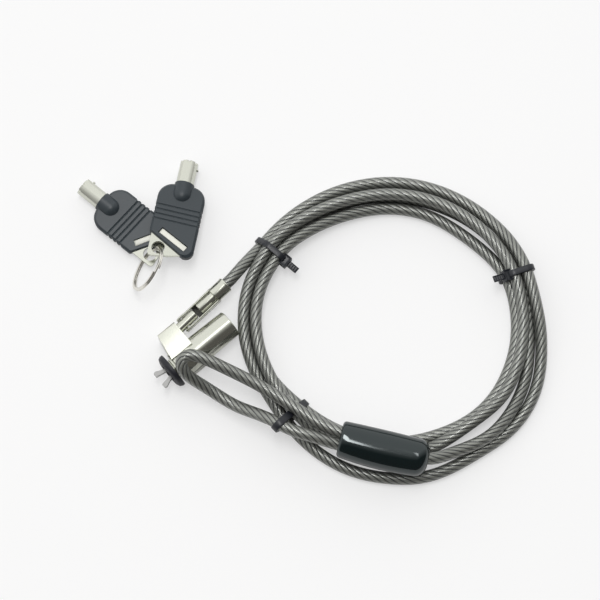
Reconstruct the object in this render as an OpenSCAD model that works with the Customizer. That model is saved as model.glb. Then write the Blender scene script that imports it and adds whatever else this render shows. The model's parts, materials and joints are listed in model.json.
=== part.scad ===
// Laptop cable lock: a tubular-key barrel lock with two spreading claws, hinged and
// swivelled on the end of a coiled steel security cable, and its two keys on a ring.
// Everything lies on one flat surface at z = 0, and +Z is up.  The origin is on that
// surface, under the middle of the lock head and keys.  Lengths are in millimetres.
// Inside the lock head, x runs along the barrel from the claws (-) to the key (+).

/* [Cable] */
// Outside diameter of the cable over its clear jacket
cable_d = 5; // [4.6:0.1:5.2]
// Outside diameter of the coiled cable
coil_outer_d = 127.5; // [125.5:0.5:127.5]
// Width of the bundle of turns, along the surface
coil_w = 14.5; // [13:0.5:16]
// Height of the bundle of turns
coil_h = 9; // [8:0.5:9]
// Length of bare ferrule seen between the arms of the yoke
ferrule_head_len = 8.1; // [7:0.1:9]
// Diameter of the ferrule's head
ferrule_head_d = 4.7; // [4.4:0.1:4.7]
// Diameter of the ferrule's neck, which turns in the yoke
ferrule_neck_d = 4; // [3.4:0.1:4.4]

/* [Loop sleeve] */
// Outside diameter of the moulded sleeve over the loop's crimp
sleeve_d = 15; // [14.4:0.1:15.4]
// Length of the sleeve
sleeve_len = 37; // [32:0.5:38]
// Rounding of the sleeve's end towards the coil
sleeve_round = 4.5; // [2:0.1:5.5]
// Edge radius of the sleeve's end towards the loop
sleeve_edge = 1.2; // [0.6:0.1:2]
// Diameter of the aluminium crimp inside the sleeve
crimp_d = 11.6; // [10.8:0.1:12.4]
// Length of the crimp
crimp_len = 21; // [16:0.5:24]

/* [Cable ties] */
// Width of the tie's strap
tie_w = 2.6; // [2:0.1:3.6]
// Thickness of the strap
tie_t = 1; // [0.8:0.1:1.2]
// Width of the tie's locking head, along the cable
tie_head_w = 4.6; // [4:0.1:5.4]
// Length of the cut-off tail past the head
tie_tail = 4.5; // [2:0.5:7]

/* [Lock barrel] */
// Outside diameter of the barrel at the nose
barrel_d = 13; // [12.6:0.1:13.4]
// Outside diameter of the barrel at the key end
barrel_end_d = 11.8; // [11.6:0.1:12.4]
// Length of the barrel, from its shoulder at the nose to the key end
barrel_len = 29; // [28:0.5:33]
// Wall of the barrel round the lock works, at the key end
barrel_wall = 1; // [0.8:0.05:1.1]
// Chamfer on the barrel's edges
barrel_edge = 0.45; // [0.2:0.05:0.7]
// Thickness of the wall between the claw chamber and the pin carrier
bulkhead = 1.2; // [1:0.1:2]

/* [Anchor block] */
// Length of the block along the barrel
block_len = 10.7; // [10.2:0.1:11.5]
// How far the block's outer rear corner is set back
block_slant = 1.9; // [0.5:0.1:3]
// Height of the block's flat top above the barrel's crown
block_rise = 0.4; // [0.2:0.05:1]
// Depth of the block below the barrel's axis
block_drop = 6.2; // [5.6:0.1:6.4]
// Chamfer on the block's long edges
block_edge = 0.5; // [0.2:0.05:0.8]
// Sideways distance from the barrel's axis to the anchor post
post_offset = 11.8; // [11.6:0.1:12.6]
// Diameter of the anchor post
post_d = 4.5; // [4.3:0.1:4.7]
// Length of the anchor post in front of the block
post_len = 9.6; // [8.5:0.1:10.2]
// Angle by which the post leans away from the barrel
post_toe = 4.5; // [0:0.5:6]

/* [Yoke] */
// Thickness of each arm of the yoke
arm_t = 0.8; // [0.7:0.05:0.9]
// Height of the arms
arm_h = 6.6; // [6.4:0.1:6.8]
// Thickness of the web that joins the arms below the ferrule
web_t = 0.6; // [0.5:0.05:0.7]
// Gap between the post and each arm
arm_gap = 0.3; // [0.3:0.05:0.4]
// Distance from the block to the hinge pin
pin_x = 3.8; // [3.7:0.1:4.4]
// Diameter of the hinge pin
pin_d = 2.1; // [1.6:0.1:2.4]
// Length of the collar round the ferrule's neck
collar_len = 7.4; // [6:0.1:9]
// Outside diameter of the collar
collar_d = 6.7; // [6.4:0.1:7]

/* [Nose and claws] */
// Length of the nose between the washer and the barrel
nose_len = 1.7; // [1.4:0.1:2.6]
// Diameter of the nose bush where the washer sits
bush_d = 8.4; // [8.3:0.1:8.8]
// Outside diameter of the rubber washer
washer_d = 15.3; // [15:0.1:16]
// Thickness of the washer at its hole
washer_t = 2.75; // [2.2:0.05:3.2]
// Thickness of the washer at its rim
washer_rim = 1; // [0.6:0.1:1.4]
// Diameter of the washer's flat front
washer_flat_d = 11; // [10.4:0.1:12]
// Reach of the claws in front of the nose's shoulder
claw_reach = 7.4; // [7:0.1:8]
// Width across the spread claws at their tips
claw_spread = 7.8; // [7.4:0.1:7.9]
// Thickness of the claws, to fit a 3 mm high slot
claw_h = 2.6; // [2.2:0.1:2.8]
// Sideways distance of each claw's pivot from the barrel's axis
claw_pivot_y = 1.7; // [1.6:0.05:1.8]
// Diameter of the claw pivot pins
claw_pin_d = 1.2; // [1:0.1:1.3]

/* [Keys] */
// Outside diameter of the tubular key
key_od = 7.6; // [7.4:0.1:7.8]
// Inside diameter of the tubular key
key_id = 5.6; // [5.4:0.1:5.7]
// Length of key tube in front of the bow
key_tube_len = 11; // [9:0.5:12]
// Width of the key's moulded bow
bow_w = 20; // [19:0.1:20.4]
// Length of the bow behind the middle of its dome
bow_back = 28.4; // [27.8:0.1:28.6]
// Length of the bow in front of the middle of its dome
bow_front = 4.2; // [3.8:0.1:5]
// Thickness of the bow
bow_t = 4; // [3.6:0.1:4]
// Diameter of the dome over the root of the tube
dome_d = 8.4; // [8.2:0.1:8.8]
// Thickness of the steel plate in the bow
plate_t = 1.4; // [1:0.1:1.6]
// Diameter of the plate's ring hole
hole_d = 5.6; // [5.5:0.1:5.8]
// Clearance round the key in the lock
key_clear = 0.15; // [0.1:0.05:0.25]

/* [Key ring] */
// Outside diameter of the split ring
ring_d = 20.6; // [20.4:0.1:20.8]
// Width of the ring's wire across the ring's face
ring_wire = 1.2; // [1:0.1:1.2]
// Thickness of each of the ring's two turns
ring_turn = 0.75; // [0.65:0.05:0.75]

/* [Lock works] */
// Number of pin stacks
pin_count = 7; // [5:1:7]
// Diameter of the lock's pins
lock_pin_d = 1.1; // [0.9:0.05:1.15]
// Diameter of the spindle from the core to the claws
spindle_d = 2.9; // [2.6:0.1:3.1]

/* [Hidden] */
$fn = 64;

run_fit = 0.05;      // radial gap between turning round parts
free_gap = 0.3;      // gap between moving parts that don't guide each other
lay_gap = 0.1;       // gap between the cable and what grips or carries it
bite = 0.02;         // overlap that joins two solids of one piece

// Colours
nickel = [0.78, 0.77, 0.73];
steel = [0.66, 0.66, 0.66];
brass = [0.80, 0.66, 0.36];
alu = [0.75, 0.76, 0.78];
black = [0.06, 0.06, 0.07];
smoke = [0.34, 0.34, 0.34];

// Lock head: places along the barrel, measured from the nose's shoulder
axis_z = washer_d / 2;
lock_place = [7.6, -41.1, axis_z];
lock_heading = 40;
barrel_r = barrel_d / 2;
shoulder_x = nose_len;
key_end_x = shoulder_x + barrel_len;
block_front_x = shoulder_x + block_len;
block_side = post_offset + post_d / 2 + 0.1;
block_top = barrel_r + block_rise;
block_step_y = 2.5;                 // where the flat top ends beside the crown
barrel_end_r = barrel_end_d / 2;
works_r = barrel_end_r - barrel_wall;

// Claws and their chamber
claw_pivot_x = 3.2;
claw_eye_r = 1.2;
claw_root_y = 0.5;                  // inner edge of a claw at its pivot
claw_tail_len = 6;
claw_tail_y = 1.05;                 // inner face of a claw's tail
claw_tail_w = 1.05;
claw_swing = 9;                     // closing turn of each claw
chamber_w = 6.6;
chamber_h = claw_h + 2 * free_gap;
chamber_end_x = claw_pivot_x + claw_tail_len + 2.2;
bush_recess = 1.5;                  // bush face in front of the shoulder, inside the washer
bush_seat = 3.3;                    // length of bush pressed into the body
cam_half_t = 0.7;
cam_throw = 0.55;                   // distance from the axis to each lobe's middle
cam_x = claw_pivot_x + 4.4;
cam_len = 2.1;

// Lock works
spindle_r = spindle_d / 2;
carrier_x = chamber_end_x + bulkhead;
carrier_len = 5.3;
core_x = carrier_x + carrier_len + lay_gap;
core_flange = 4;
post_face_x = key_end_x - 0.6;
keyway_x = core_x + core_flange;
keyway_r = key_od / 2 + key_clear;
core_post_r = key_id / 2 - key_clear;
pin_ring_r = (key_od + key_id) / 4;
lock_pin_r = lock_pin_d / 2;
driver_len = 1.95;
spring_len = 2.5;
screw_r = 0.8;
screw_head_r = barrel_end_r + 0.1;    // distance of the screw's head from the axis

// Yoke, in the post's own frame: x along the post from the block's face
arm_in = post_d / 2 + arm_gap;
arm_out = arm_in + arm_t;
arm_end_r = arm_h / 2;
web_gap = 0.9;                      // from the post's end to the web
ferrule_x = post_len + 2.3;
collar_x = ferrule_x + ferrule_head_len + lay_gap;
cup_depth = 1.2;                    // hollow in the collar's end, which the cable enters
ferrule_end_x = collar_x + collar_len - cup_depth + free_gap;

// Coil: its middle, and the height at which it is carried by its ties
coil_place = [99, -23, tie_t + lay_gap];
coil_r = coil_outer_d / 2;
coil_in_r = coil_r - coil_w;
coil_edge = 1.6;
tie_angles = [147, 24, 221];

// Sleeve: the middle of its length, and the angle of its axis
sleeve_place = [94.3, -74.9, 13];
sleeve_angle = -13.5;

// Routes of the cable where it isn't coiled, as points chosen along it
lead_straight = 4;                  // straight cable at the ferrule
lead_route = [[34.8, 1.6, 7.2], [39, 5.6, 6.6], [43.3, 8.9, 6]];
feed_route = [[123, -75.4, 8], [118.2, -78, 10.6], [113.8, -79.1, 12.6]];
loop_route = [
    [69, -65, 13.9], [58, -58, 13.9], [49.8, -52.7, 14], [41.6, -47.9, 14.6],
    [35.4, -44.9, 15.6], [27.3, -41.2, 17.4], [19.1, -37.6, 18.6], [15.4, -36.4, 18.9],
    [12, -36.9, 19], [10.6, -39.8, 18.6], [12.1, -43.4, 16.9], [16.2, -46.3, 13.8],
    [22, -49.4, 10.6], [28, -53.2, 9.2], [34.1, -56.8, 9.6], [41.5, -59.8, 11.5],
    [48.5, -63, 13.8], [55.5, -66.9, 14.6], [64, -69.6, 14.5]
];
tube_sides = 10;
tube_steps = 2;                     // rings per stretch between two points

// Keys: middle of the dome, heading and dip of the tube
key_1_place = [10.4, 33.5, 6.7];
key_1_turn = [0, 11, 79.3];
key_2_place = [-19.8, 28.6, dome_d / 2];
key_2_turn = [0, 0, 140.9];
bow_corner_r = 3.2;
bow_nose_r = 6.4;
bow_round = 0.9;                    // rounding of the bow's edges
bow_cut_x = -bow_back + 9.2;        // where the slanted end meets the long side
bow_cut_y = -6.2;                   // where it meets the short end
groove_x = [-13.4, -11.2, -9, -6.8];
groove_w = 0.6;
groove_tilt = -3;
window_len = 14;
window_w = 2.8;
window_place = [-21.4, -0.6];
window_angle = 60.5;
hole_place = [-25.6, 4.9];
plate_corner = [-29.6, 9];
shank_root_x = bow_front - 4;       // where the tube starts, inside the dome
bit_depths = [0.7, 1.2, 0.9, 1.5, 0.6, 1.3, 1];
bit_r = 0.62;
lug_d = 1.1;
lug_back = 2.6;

// Ring: its middle, heading and tilt
ring_place = [-3.5, 1.3, 9.5];
ring_turn_angles = [-60.8, 0, 67.2];
ring_wire_r = (ring_d - ring_wire) / 2;

// ---- Functions that sweep a round tube along a route ----

function unit(v) = v / norm(v);
function last(list) = list[len(list) - 1];
// Point at share t of the stretch from b to c, on a smooth curve through a, b, c, d
function on_curve(a, b, c, d, t) =
    ((2 * b) + (c - a) * t + (2 * a - 5 * b + 4 * c - d) * t * t
    + (3 * b - a - 3 * c + d) * t * t * t) / 2;
function smooth_route(points, steps) = [
    for (i = [0 : len(points) - 2])
        for (s = [0 : steps - 1])
            on_curve(points[max(i - 1, 0)], points[i], points[i + 1],
                points[min(i + 2, len(points) - 1)], s / steps),
    last(points)
];
function heading_at(points, i) =
    unit(points[min(i + 1, len(points) - 1)] - points[max(i - 1, 0)]);
function ring_at(p, ahead, r, sides) =
    let (side = unit(cross(ahead, [0, 0, 1])), up = cross(side, ahead))
        [for (k = [0 : sides - 1])
            p + r * (cos(360 * k / sides) * side + sin(360 * k / sides) * up)];

module tube(route, r, sides = tube_sides, steps = tube_steps) {
    points = smooth_route(route, steps);
    rings = len(points);
    skin = [
        for (i = [0 : rings - 2])
            for (k = [0 : sides - 1])
                let (a = i * sides + k, b = i * sides + (k + 1) % sides)
                    [a, a + sides, b + sides, b]
    ];
    ends = [
        [for (k = [0 : sides - 1]) k],
        [for (k = [sides - 1 : -1 : 0]) (rings - 1) * sides + k]
    ];
    polyhedron(
        [for (i = [0 : rings - 1]) each ring_at(points[i], heading_at(points, i), r, sides)],
        concat(skin, ends), convexity = 8);
}

// ---- Frames and shared shapes ----

// Lock head's frame: x along the barrel towards the key end
module lock_frame() {
    translate(lock_place) rotate([0, 0, lock_heading]) children();
}

// Post's frame: x along the anchor post from the block's face
module post_frame() {
    lock_frame()
        translate([block_front_x, post_offset, 0]) rotate([0, 0, post_toe]) children();
}

// Round bar along x from x0 to x1
module bar(r, x0, x1) {
    translate([x0, 0, 0]) rotate([0, 90, 0]) cylinder(r = r, h = x1 - x0);
}

// Turned piece: profile points are [place along x, radius]
module turned(profile) {
    rotate([0, 90, 0]) rotate_extrude()
        polygon([for (p = profile) [p[1], p[0]]]);
}

// Copies round the barrel's axis, one for each pin stack
module round_the_core() {
    for (i = [0 : pin_count - 1])
        rotate([360 * i / pin_count, 0, 0]) translate([0, 0, pin_ring_r]) children();
}

// ---- Cable ----

module cable_coil() {
    color(smoke) difference() {
        translate(coil_place) rotate_extrude($fn = 120)
            polygon([
                [coil_in_r + coil_edge, 0], [coil_r - coil_edge, 0],
                [coil_r, coil_edge], [coil_r, coil_h - coil_edge],
                [coil_r - coil_edge, coil_h], [coil_in_r + coil_edge, coil_h],
                [coil_in_r, coil_h - coil_edge], [coil_in_r, coil_edge]
            ]);
        sleeve_frame() bar(sleeve_d / 2 + lay_gap, -sleeve_len / 2 - 1, sleeve_len / 2 + 1);
    }
}

// Point in the lock's post frame, moved to the whole object's frame
function turn_z(p, a) = [p[0] * cos(a) - p[1] * sin(a), p[0] * sin(a) + p[1] * cos(a), p[2]];
function from_post(p) =
    lock_place + turn_z([block_front_x, post_offset, 0] + turn_z(p, post_toe), lock_heading);

module cable_lead() {
    color(smoke)
        tube(concat(
            [from_post([ferrule_end_x, 0, 0]),
                from_post([ferrule_end_x + lead_straight, 0, 0])],
            lead_route), cable_d / 2);
}

module cable_feed() {
    color(smoke)
        tube(concat(feed_route, [from_sleeve([crimp_len / 2, 0, 0])]), cable_d / 2);
}

// The loop's two legs lie side by side in the sleeve
leg_y = 2.4;
leg_z = 0.75;
function from_sleeve(p) = sleeve_place + turn_z(p, sleeve_angle);

module cable_loop() {
    color(smoke)
        tube(concat(
            [from_sleeve([-crimp_len / 2, leg_y, leg_z]),
                from_sleeve([-sleeve_len / 2, leg_y, leg_z])],
            loop_route,
            [from_sleeve([-sleeve_len / 2, -leg_y, -leg_z]),
                from_sleeve([-crimp_len / 2, -leg_y, -leg_z])]), cable_d / 2);
}

module lead_ferrule() {
    head_edge = 0.3;
    color(nickel) post_frame() turned([
        [ferrule_x, 0], [ferrule_x, ferrule_head_d / 2 - head_edge],
        [ferrule_x + head_edge, ferrule_head_d / 2],
        [ferrule_x + ferrule_head_len, ferrule_head_d / 2],
        [ferrule_x + ferrule_head_len, ferrule_neck_d / 2],
        [ferrule_end_x, ferrule_neck_d / 2], [ferrule_end_x, 0]
    ]);
}

module sleeve_frame() {
    translate(sleeve_place) rotate([0, 0, sleeve_angle]) children();
}

module loop_crimp() {
    edge = 0.8;
    r = crimp_d / 2;
    color(alu) sleeve_frame() turned([
        [-crimp_len / 2, 0], [-crimp_len / 2, r - edge], [-crimp_len / 2 + edge, r],
        [crimp_len / 2 - edge, r], [crimp_len / 2, r - edge], [crimp_len / 2, 0]
    ]);
}

module loop_sleeve() {
    r = sleeve_d / 2;
    half = sleeve_len / 2;
    round_steps = 6;
    mouth_r = leg_y + cable_d / 2 + free_gap;
    color(black) sleeve_frame() difference() {
        turned(concat(
            [[-half, 0], [-half, r - sleeve_edge], [-half + sleeve_edge, r]],
            [for (i = [0 : round_steps])
                let (a = 90 * i / round_steps)
                    [half - sleeve_round + sleeve_round * sin(a),
                        r - sleeve_round + sleeve_round * cos(a)]],
            [[half, 0]]));
        bar(crimp_d / 2, -crimp_len / 2, crimp_len / 2);
        bar(mouth_r, -half - 1, 0);
        bar(cable_d / 2 + free_gap, 0, half + 1);
    }
}

// Tie: a strap round the bundle, a head on its inner side and a cut-off tail
module cable_tie(angle) {
    in_r = coil_in_r - lay_gap;
    out_r = coil_r + lay_gap;
    top = coil_h + lay_gap;
    head_h = 4.4;
    head_len = 3.6;
    color(black) translate([coil_place[0], coil_place[1], 0]) rotate([0, 0, angle]) {
        difference() {
            strap_block(in_r - tie_t, out_r + tie_t, top + 2 * tie_t + lay_gap, coil_edge);
            translate([0, 0, tie_t])
                strap_block(in_r, out_r, top + lay_gap, coil_edge / 2, tie_w + 1);
        }
        // Head, with the pawl's slot through it
        translate([in_r - tie_t - head_len + bite, -tie_head_w / 2, top + tie_t - head_h + 1])
            difference() {
                cube([head_len, tie_head_w, head_h]);
                translate([1.1, (tie_head_w - tie_w) / 2, 1])
                    cube([1.2, tie_w, head_h]);
            }
        // Tail, cut off short
        translate([in_r - tie_t - head_len - tie_tail + 2 * bite, -tie_w / 2, top + 1.2 - tie_t])
            cube([tie_tail, tie_w, tie_t]);
    }
}

// Bar with chamfered long edges, standing on z = 0 across the bundle
module strap_block(x0, x1, h, edge, w = tie_w) {
    translate([0, w / 2, 0]) rotate([90, 0, 0]) linear_extrude(w)
        polygon([
            [x0 + edge, 0], [x1 - edge, 0], [x1, edge], [x1, h - edge],
            [x1 - edge, h], [x0 + edge, h], [x0, h - edge], [x0, edge]
        ]);
}

module cable_tie_1() { cable_tie(tie_angles[0]); }
module cable_tie_2() { cable_tie(tie_angles[1]); }
module cable_tie_3() { cable_tie(tie_angles[2]); }

// ---- Yoke and hinge ----

module yoke() {
    color(nickel) post_frame() difference() {
        union() {
            // Collar, with a rolled rim where the cable enters
            turned([
                [collar_x, 0], [collar_x, collar_d / 2],
                [collar_x + collar_len - 0.9, collar_d / 2],
                [collar_x + collar_len - 0.6, collar_d / 2 + 0.15],
                [collar_x + collar_len - 0.2, collar_d / 2],
                [collar_x + collar_len, collar_d / 2 - 0.25],
                [collar_x + collar_len, 0]
            ]);
            for (side = [-1, 1]) yoke_arm(side);
            // Web, which starts clear of the post's swing
            translate([post_len + web_gap, -arm_in - bite, -arm_end_r])
                cube([collar_x - post_len - web_gap + 1, 2 * (arm_in + bite), web_t]);
        }
        bar(ferrule_neck_d / 2 + run_fit, collar_x - 1, collar_x + collar_len + 1);
        bar(cable_d / 2 + free_gap, collar_x + collar_len - cup_depth, collar_x + collar_len + 1);
        hinge_line(pin_d / 2, 2 * arm_out + 1);
    }
}

// One arm: a flat cheek with a round eye, running back to the collar
module yoke_arm(side) {
    cheek_y = side > 0 ? arm_in : -arm_out;
    translate([0, cheek_y + arm_t, 0]) rotate([90, 0, 0]) linear_extrude(arm_t) {
        translate([pin_x, 0]) circle(r = arm_end_r);
        translate([pin_x, -arm_end_r]) square([collar_x - pin_x + 2, arm_h]);
    }
}

// Cylinder along the hinge pin's line
module hinge_line(r, length) {
    translate([pin_x, length / 2, 0]) rotate([90, 0, 0]) cylinder(r = r, h = length);
}

module hinge_pin() {
    color(steel) post_frame() hinge_line(pin_d / 2, 2 * arm_out);
}

// ---- Lock head ----

module lock_body() {
    color(nickel) difference() {
        lock_frame() difference() {
            union() {
                turned([
                    [shoulder_x, 0], [shoulder_x, barrel_r - barrel_edge],
                    [shoulder_x + barrel_edge, barrel_r],
                    [key_end_x - barrel_edge, barrel_end_r],
                    [key_end_x, barrel_end_r - barrel_edge], [key_end_x, 0]
                ]);
                anchor_block();
            }
            bar(bush_d / 2, shoulder_x - 1, shoulder_x + bush_seat);
            claw_chamber(shoulder_x - 1, chamber_end_x);
            bar(spindle_r + run_fit, chamber_end_x - 1, carrier_x + 1);
            bar(works_r, carrier_x, key_end_x + 1);
            screw_line(screw_r, barrel_r + 1);
        }
        post_frame() hinge_line(pin_d / 2 + run_fit, post_d + 1);
    }
}

// Block beside the barrel, with the post that the yoke hinges on
module anchor_block() {
    plan = [
        [shoulder_x, -barrel_r], [block_front_x, -barrel_r],
        [block_front_x, block_side], [shoulder_x + block_slant, block_side],
        [shoulder_x, block_step_y]
    ];
    section = [
        [-barrel_r, 0], [-barrel_r, -block_drop + block_edge],
        [-barrel_r + block_edge, -block_drop], [block_side - block_edge, -block_drop],
        [block_side, -block_drop + block_edge], [block_side, block_top - block_edge],
        [block_side - block_edge, block_top], [block_step_y, block_top],
        [block_step_y, 0]
    ];
    intersection() {
        translate([0, 0, -block_drop]) linear_extrude(block_drop + block_top) polygon(plan);
        translate([shoulder_x - 1, 0, 0]) rotate([90, 0, 90])
            linear_extrude(block_len + 2) polygon(section);
    }
    post_edge = 0.35;
    translate([block_front_x, post_offset, 0]) rotate([0, 0, post_toe])
        turned([
            [-2, 0], [-2, post_d / 2], [post_len - post_edge, post_d / 2],
            [post_len, post_d / 2 - post_edge], [post_len, 0]
        ]);
}

// Slot for the claws, from the nose back to the bulkhead
module claw_chamber(x0, x1) {
    translate([x0, -chamber_w / 2, -chamber_h / 2]) cube([x1 - x0, chamber_w, chamber_h]);
}

// Cross screw through the barrel's underside into the pin carrier
module screw_line(r, depth) {
    translate([carrier_x + carrier_len / 2, 0, -depth]) cylinder(r = r, h = depth - spindle_r - 1);
}

module carrier_screw() {
    color(steel) lock_frame() difference() {
        screw_line(screw_r, screw_head_r);
        translate([carrier_x + carrier_len / 2 - screw_r, -0.15, -screw_head_r - 0.1])
            cube([2 * screw_r, 0.3, 0.5]);
    }
}

module face_ring() {
    lug_slot_w = lug_d + 2 * key_clear;
    lug_slot_r = key_od / 2 + lug_d / 2 + key_clear;
    color(nickel) lock_frame() difference() {
        bar(works_r, keyway_x + lay_gap, key_end_x - 0.3);
        bar(keyway_r, keyway_x - 1, key_end_x + 1);
        translate([keyway_x - 1, -lug_slot_w / 2, 0])
            cube([key_end_x - keyway_x + 2, lug_slot_w, lug_slot_r]);
    }
}

module pin_carrier() {
    color(brass) lock_frame() difference() {
        bar(works_r, carrier_x, carrier_x + carrier_len);
        bar(spindle_r + run_fit, carrier_x - 1, carrier_x + carrier_len + 1);
        round_the_core() bar(lock_pin_r, carrier_x + 0.7, carrier_x + carrier_len + 1);
        screw_line(screw_r, barrel_r);
    }
}

module driver_pins() {
    color(steel) lock_frame() round_the_core()
        bar(lock_pin_r, carrier_x + carrier_len - driver_len, carrier_x + carrier_len);
}

// Each spring is drawn as the thin tube that its turns fill
module pin_springs() {
    x1 = carrier_x + carrier_len - driver_len;
    color(steel) lock_frame() round_the_core() difference() {
        bar(lock_pin_r, x1 - spring_len, x1);
        bar(lock_pin_r - 0.2, x1 - spring_len - 1, x1 + 1);
    }
}

module nose_bush() {
    r = bush_d / 2;
    color(nickel) lock_frame() difference() {
        turned([
            [-bush_recess, 0], [-bush_recess, r], [0, r], [0, r + 0.25],
            [0.35, r + 0.25], [0.5, r], [0.8, r], [0.95, r + 0.25],
            [shoulder_x, r + 0.25], [shoulder_x, r], [shoulder_x + bush_seat, r],
            [shoulder_x + bush_seat, 0]
        ]);
        claw_chamber(-bush_recess - 1, shoulder_x + bush_seat + 1);
        for (side = [-1, 1]) claw_pin_line(side, claw_pin_d / 2, bush_d);
    }
}

module rubber_washer() {
    hole_r = bush_d / 2 + run_fit;
    crown = (washer_flat_d + washer_d) / 4 + 0.5;
    color(black) lock_frame() turned([
        [0, hole_r], [0, washer_d / 2], [-washer_rim, washer_d / 2],
        [-(washer_rim + washer_t) / 2 - 0.25, crown],
        [-washer_t, washer_flat_d / 2], [-washer_t, hole_r]
    ]);
}

module claw_pin_line(side, r, length) {
    translate([claw_pivot_x, side * claw_pivot_y, -length / 2]) cylinder(r = r, h = length);
}

module claw_pins() {
    color(steel) lock_frame()
        for (side = [-1, 1]) claw_pin_line(side, claw_pin_d / 2, bush_d - 1.5);
}

// Claw on the +y side: eye, flared prong in front and tail behind
module claw() {
    tip_y = claw_spread / 2;
    tip_w = 1.95;
    difference() {
        translate([0, 0, -claw_h / 2]) linear_extrude(claw_h) {
            translate([claw_pivot_x, claw_pivot_y]) circle(r = claw_eye_r);
            polygon([
                [claw_pivot_x + 0.4, claw_pivot_y + claw_eye_r - 0.1],
                [-bush_recess, claw_pivot_y + 0.6], [-washer_t - 1.4, tip_y - 0.95],
                [-claw_reach + 1.2, tip_y], [-claw_reach + 0.4, tip_y],
                [-claw_reach, tip_y - 0.4], [-claw_reach, tip_y - tip_w],
                [-washer_t, claw_root_y + 0.6], [0, claw_root_y + 0.15],
                [claw_pivot_x + 0.4, claw_root_y + 0.1]
            ]);
            translate([claw_pivot_x + claw_eye_r - 0.3, claw_tail_y])
                square([claw_tail_len - claw_eye_r + 0.3, claw_tail_w]);
        }
        claw_pin_line(1, claw_pin_d / 2 + run_fit, claw_h + 1);
    }
}

module claw_left() { color(steel) lock_frame() claw(); }
module claw_right() { color(steel) lock_frame() mirror([0, 1, 0]) claw(); }

// ---- Turning core ----

module lock_core() {
    post_edge = 0.4;
    color(nickel) lock_frame() difference() {
        turned([
            [core_x, 0], [core_x, works_r - run_fit], [keyway_x, works_r - run_fit],
            [keyway_x, core_post_r], [post_face_x - post_edge, core_post_r],
            [post_face_x, core_post_r - post_edge], [post_face_x, 0]
        ]);
        bar(spindle_r, core_x - 1, core_x + 3);
        round_the_core() bar(lock_pin_r, core_x - 1, keyway_x + 1);
    }
}

module key_pins() {
    color(brass) lock_frame() round_the_core() bar(lock_pin_r, core_x, keyway_x + 1);
}

module drive_spindle() {
    color(steel) lock_frame() {
        bar(spindle_r, cam_x + cam_len, core_x + 3);
        // Two-lobed cam, which spreads the claws' tails when it turns
        translate([cam_x, 0, 0]) rotate([90, 0, 90]) linear_extrude(cam_len + bite) {
            for (end = [-1, 1]) translate([0, end * cam_throw]) circle(r = cam_half_t);
            translate([-cam_half_t, -cam_throw]) square([2 * cam_half_t, 2 * cam_throw]);
        }
    }
}

// ---- Keys and ring ----

module key_ring() {
    half = ring_turn + 0.05;
    groove = 0.12;
    color(nickel) translate(ring_place) rotate(ring_turn_angles) difference() {
        rotate_extrude($fn = 96) translate([ring_wire_r, 0]) polygon([
            [-ring_wire / 2, -half + 0.25], [-ring_wire / 2 + 0.25, -half],
            [ring_wire / 2 - 0.25, -half], [ring_wire / 2, -half + 0.25],
            [ring_wire / 2, -groove], [ring_wire / 2 - groove, 0], [ring_wire / 2, groove],
            [ring_wire / 2, half - 0.25], [ring_wire / 2 - 0.25, half],
            [-ring_wire / 2 + 0.25, half], [-ring_wire / 2, half - 0.25],
            [-ring_wire / 2, groove], [-ring_wire / 2 + groove, 0], [-ring_wire / 2, -groove]
        ]);
        // The ends of the two turns stop short of each other
        rotate([0, 0, -80]) translate([0, -0.4, 0]) cube([ring_d, 0.8, half + 1]);
        rotate([0, 0, -96]) translate([0, -0.4, -half - 1]) cube([ring_d, 0.8, half + 1]);
    }
}

// Outline of the bow, drawn in by a margin: round at the tube, slanted at the ring
module bow_outline(margin) {
    side = bow_w / 2 - margin;
    back = -bow_back + margin;
    hull() {
        for (y = [-1, 1])
            translate([bow_front - bow_nose_r, y * (side + margin - bow_nose_r)])
                circle(r = bow_nose_r - margin, $fn = 32);
        translate([bow_cut_x + 1, side - 1]) circle(r = 1, $fn = 32);
        translate([back + 1, bow_cut_y]) circle(r = 1, $fn = 32);
        translate([back + bow_corner_r, -side + bow_corner_r])
            circle(r = bow_corner_r, $fn = 32);
    }
}

// Groove cutters across both faces and notches in both sides of the bow
module bow_grooves() {
    for (x = groove_x, face = [-1, 1])
        translate([x, 0, face * bow_t / 2]) rotate([0, 0, groove_tilt])
            rotate([0, 45, 0]) cube([groove_w, bow_w + 2, groove_w], center = true);
    for (x = groove_x, side = [-1, 1])
        translate([x, side * (bow_w / 2 + 0.1), 0]) cylinder(r = 0.6, h = bow_t + 1, center = true);
}

module key_bow() {
    difference() {
        union() {
            hull() {
                translate([0, 0, -bow_t / 2]) linear_extrude(bow_t) bow_outline(bow_round);
                translate([0, 0, -bow_t / 2 + bow_round])
                    linear_extrude(bow_t - 2 * bow_round) bow_outline(0);
            }
            sphere(r = dome_d / 2, $fn = 48);
            bar(dome_d / 2, 0, bow_front + 0.8);
        }
        bow_grooves();
        for (face = [-1, 1])
            translate([window_place[0], window_place[1], face * (plate_t / 2 + bow_t)])
                rotate([0, 0, window_angle])
                    cube([window_len, window_w, 2 * bow_t], center = true);
        bar(key_od / 2, shank_root_x, bow_front + 2);
        key_tang();
        key_plate();
    }
}

// Solid root of the tube, and the flat tang from it to the plate
module key_tang() {
    tang_w = 4;
    bar(key_id / 2, shank_root_x - 3, shank_root_x + 1);
    translate([-15, -tang_w / 2, -plate_t / 2])
        cube([15 + shank_root_x - 2, tang_w, plate_t]);
}

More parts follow.
